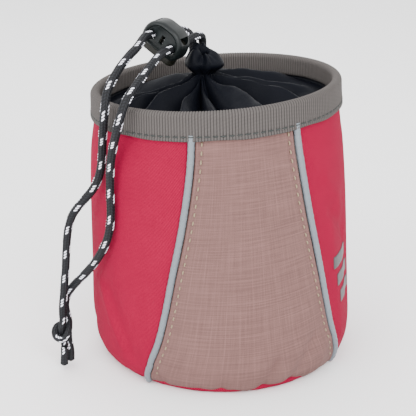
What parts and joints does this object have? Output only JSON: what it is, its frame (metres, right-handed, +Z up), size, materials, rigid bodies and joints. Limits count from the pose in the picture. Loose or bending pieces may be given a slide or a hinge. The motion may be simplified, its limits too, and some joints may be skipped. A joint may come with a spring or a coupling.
{
  "type": "treat pouch",
  "caption": "Round fabric pouch with a flared front panel, a drawstring collar with a push-button cord lock, a belt loop and a D-ring.",
  "frame": {"origin": "centre of the flat underside of the base panel", "axes": "+Z up, the front panel faces -Y, +X is the right side seen from the front"},
  "size_m": [0.1292, 0.1164, 0.14],
  "materials": {
    "taupe_ripstop": "matte ripstop weave",
    "red_softshell": "matte twill",
    "reflective_piping": "satin reflective tape",
    "grosgrain_tape": "ribbed grosgrain",
    "collar_nylon": "soft sheen nylon",
    "drawstring_braid": "braided, with pale flecks",
    "lock_plastic": "moulded, satin",
    "plunger_plastic": "moulded, satin",
    "steel": "plated wire",
    "foam": "foam sheet",
    "lining_nylon": "coated nylon",
    "base_board": "plain sheet",
    "black_webbing": "woven webbing"
  },
  "bodies": {
    "pouch": {"front_panel": "taupe_ripstop", "side_panel_left": "red_softshell", "side_panel_right": "red_softshell", "base_panel": "red_softshell", "piping_left": "reflective_piping", "piping_right": "reflective_piping", "rim_binding": "grosgrain_tape", "closure_collar": "collar_nylon", "collar_hem": "collar_nylon", "drawstring_hem": "drawstring_braid", "drawstring_left": "drawstring_braid", "drawstring_right": "drawstring_braid", "drawstring_knot": "drawstring_braid", "cord_end_left": "drawstring_braid", "cord_end_right": "drawstring_braid", "wall_interlining": "foam", "lining_wall": "lining_nylon", "lining_base": "lining_nylon", "base_stiffener": "base_board", "belt_loop": "black_webbing", "ring_tab": "black_webbing"},
    "cord_lock": {"cord_lock_body": "lock_plastic", "cord_lock_spring": "steel"},
    "plunger": {"cord_lock_plunger": "plunger_plastic"},
    "ring": {"d_ring": "steel"}
  },
  "joints": [
    {"name": "lock_slide", "type": "slide", "parent": "pouch", "child": "cord_lock", "axis": [-0.6404, -0.7672, -0.0367], "range_m": [0, 0.005]},
    {"name": "plunger_press", "type": "slide", "parent": "cord_lock", "child": "plunger", "axis": [0.3964, -0.371, 0.8398], "range_m": [0, 0.0025], "stiffness_N_per_m": 800, "springref_m": -0.004, "deforming": ["cord_lock_spring"]},
    {"name": "ring_swing", "type": "hinge", "parent": "pouch", "child": "ring", "pos_m": [-0.0023, 0.0549, 0.088], "axis": [1, 0, 0], "range_deg": [0, 165]}
  ]
}
